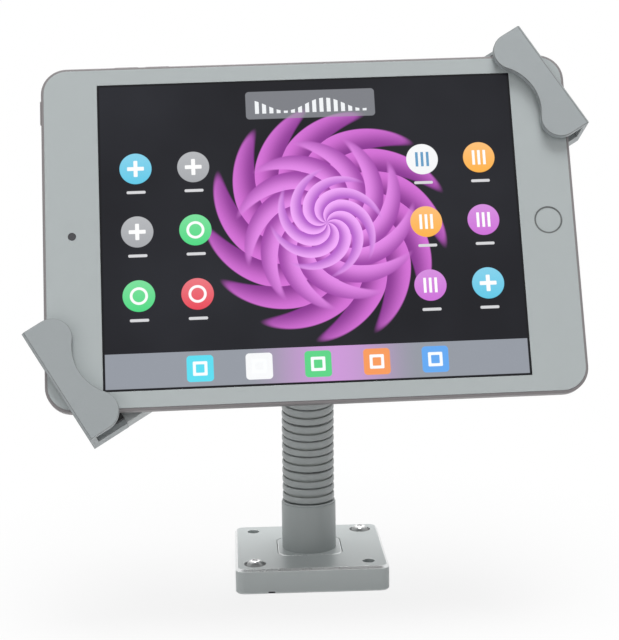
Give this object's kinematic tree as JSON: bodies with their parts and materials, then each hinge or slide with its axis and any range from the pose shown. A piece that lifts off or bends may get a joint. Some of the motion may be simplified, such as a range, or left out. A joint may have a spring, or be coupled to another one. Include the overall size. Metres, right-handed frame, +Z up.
{
  "type": "tablet security kiosk stand",
  "caption": "Desk stand with a square screw-down base, a flexible ringed neck and a diagonal arm whose lockable jaws grip a tablet by opposite corners.",
  "frame": {"origin": "centre of the base's underside, on the desk's surface", "axes": "+Z up, +X to the viewer's right, the screen faces -Y"},
  "size_m": [0.2176, 0.1237, 0.2288],
  "materials": {
    "silver_coat": "satin",
    "ring_metal": "satin",
    "silver_alloy": "satin",
    "bar_alloy": "satin",
    "rubber_black": "matte",
    "bright_steel": "polished",
    "nylon_white": "matte",
    "lock_chrome": "polished",
    "lock_brass": "satin",
    "tablet_alloy": "satin",
    "white_glass": "gloss",
    "screen_glass": "gloss",
    "ring_steel": "polished",
    "lens_black": "gloss",
    "cell_grey": "matte",
    "board_green": "satin"
  },
  "bodies": {
    "base": {"base_plate": "silver_coat", "base_pad": "rubber_black", "base_screws": "bright_steel", "neck_foot": "silver_coat", "neck_bolt": "bright_steel", "neck_sleeve": "silver_coat"},
    "ring_01": {"neck_ring_01": "ring_metal"},
    "ring_02": {"neck_ring_02": "ring_metal"},
    "ring_03": {"neck_ring_03": "ring_metal"},
    "ring_04": {"neck_ring_04": "ring_metal"},
    "ring_05": {"neck_ring_05": "ring_metal"},
    "ring_06": {"neck_ring_06": "ring_metal"},
    "ring_07": {"neck_ring_07": "ring_metal"},
    "ring_08": {"neck_ring_08": "ring_metal"},
    "ring_09": {"neck_ring_09": "ring_metal"},
    "ring_10": {"neck_ring_10": "ring_metal"},
    "neck_top": {"neck_top": "silver_coat", "tilt_washers": "nylon_white"},
    "head": {"tilt_bracket": "silver_coat", "tilt_pin": "bright_steel", "tilt_nut": "bright_steel", "turn_washer": "nylon_white"},
    "holder": {"arm_tray": "silver_alloy", "arm_cover": "silver_alloy", "arm_cover_screws": "bright_steel", "cover_pads": "rubber_black", "fixed_jaw": "silver_alloy", "fixed_bar": "bar_alloy", "fixed_jaw_screws": "bright_steel", "fixed_lip_pad": "rubber_black", "fixed_back_pad": "rubber_black", "lock_housing": "lock_chrome", "lock_screws": "bright_steel", "turn_screw": "bright_steel", "tablet_shell": "tablet_alloy", "tablet_bezel": "white_glass", "tablet_screen": "screen_glass", "tablet_home_ring": "ring_steel", "tablet_front_camera": "lens_black", "tablet_rear_camera": "lens_black", "tablet_charge_port": "ring_steel", "tablet_cells": "cell_grey", "tablet_board": "board_green"},
    "jaw_slider": {"sliding_jaw": "silver_alloy", "slide_bar": "bar_alloy", "sliding_jaw_screws": "bright_steel", "sliding_lip_pad": "rubber_black", "sliding_back_pad": "rubber_black"},
    "lock_plunger": {"lock_plunger": "lock_chrome"},
    "lock_core": {"lock_core": "lock_brass"},
    "home_button": {"tablet_home_button": "white_glass"},
    "volume_up": {"tablet_volume_up": "tablet_alloy"},
    "volume_down": {"tablet_volume_down": "tablet_alloy"},
    "sleep_button": {"tablet_sleep_button": "tablet_alloy"}
  },
  "joints": [
    {"name": "neck_fore_1", "type": "hinge", "parent": "base", "child": "ring_01", "pos_m": [0, 0, 0.032], "axis": [1, 0, 0], "range_deg": [-6.99, 1.81]},
    {"name": "neck_fore_2", "type": "hinge", "parent": "ring_01", "child": "ring_02", "pos_m": [0, -0.00033, 0.03929], "axis": [1, 0, 0], "range_deg": [-6.99, 1.81]},
    {"name": "neck_side_1", "type": "hinge", "parent": "ring_02", "child": "ring_03", "pos_m": [0, -0.00099, 0.04656], "axis": [0, 0.9959, 0.0903], "range_deg": [-3.3, 3.3]},
    {"name": "neck_fore_3", "type": "hinge", "parent": "ring_03", "child": "ring_04", "pos_m": [0, -0.00165, 0.05383], "axis": [1, 0, 0], "range_deg": [-6.99, 1.81]},
    {"name": "neck_fore_4", "type": "hinge", "parent": "ring_04", "child": "ring_05", "pos_m": [0, -0.00264, 0.06107], "axis": [1, 0, 0], "range_deg": [-6.99, 1.81]},
    {"name": "neck_side_2", "type": "hinge", "parent": "ring_05", "child": "ring_06", "pos_m": [0, -0.00395, 0.06825], "axis": [0, 0.9837, 0.1798], "range_deg": [-3.3, 3.3]},
    {"name": "neck_fore_5", "type": "hinge", "parent": "ring_06", "child": "ring_07", "pos_m": [0, -0.00526, 0.07543], "axis": [1, 0, 0], "range_deg": [-6.99, 1.81]},
    {"name": "neck_fore_6", "type": "hinge", "parent": "ring_07", "child": "ring_08", "pos_m": [0, -0.0069, 0.08254], "axis": [1, 0, 0], "range_deg": [-6.99, 1.81]},
    {"name": "neck_side_3", "type": "hinge", "parent": "ring_08", "child": "ring_09", "pos_m": [0, -0.00885, 0.08958], "axis": [0, 0.9634, 0.2679], "range_deg": [-3.3, 3.3]},
    {"name": "neck_fore_7", "type": "hinge", "parent": "ring_09", "child": "ring_10", "pos_m": [0, -0.01081, 0.09661], "axis": [1, 0, 0], "range_deg": [-6.99, 1.81]},
    {"name": "neck_fore_8", "type": "hinge", "parent": "ring_10", "child": "neck_top", "pos_m": [0, -0.01308, 0.10355], "axis": [1, 0, 0], "range_deg": [-6.99, 1.81]},
    {"name": "head_tilt", "type": "hinge", "parent": "neck_top", "child": "head", "pos_m": [0, -0.0272, 0.14087], "axis": [-1, 0, 0], "range_deg": [-25, 35]},
    {"name": "holder_turn", "type": "hinge", "parent": "head", "child": "holder", "pos_m": [0, -0.05879, 0.15344], "axis": [0, -0.9291, 0.3697], "range_deg": [-91, 89]},
    {"name": "jaw_slide", "type": "slide", "parent": "holder", "child": "jaw_slider", "axis": [0.8499, 0.1948, 0.4896], "range_m": [0, 0.03]},
    {"name": "lock_push", "type": "slide", "parent": "holder", "child": "lock_plunger", "axis": [0, -0.9291, 0.3697], "range_m": [0, 0.0045]},
    {"name": "lock_turn", "type": "hinge", "parent": "lock_plunger", "child": "lock_core", "pos_m": [0.0476, -0.03069, 0.17402], "axis": [0, -0.9291, 0.3697], "range_deg": [0, 90]},
    {"name": "home_press", "type": "slide", "parent": "holder", "child": "home_button", "axis": [0, 0.9291, -0.3697], "range_m": [0, 0.0003], "stiffness_N_per_m": 1500},
    {"name": "volume_up_press", "type": "slide", "parent": "holder", "child": "volume_up", "axis": [0.0175, -0.3697, -0.929], "range_m": [0, 0.00035], "stiffness_N_per_m": 1500},
    {"name": "volume_down_press", "type": "slide", "parent": "holder", "child": "volume_down", "axis": [0.0175, -0.3697, -0.929], "range_m": [0, 0.00035], "stiffness_N_per_m": 1500},
    {"name": "sleep_press", "type": "slide", "parent": "holder", "child": "sleep_button", "axis": [0.9998, 0.0065, 0.0162], "range_m": [0, 0.00035], "stiffness_N_per_m": 1500}
  ]
}
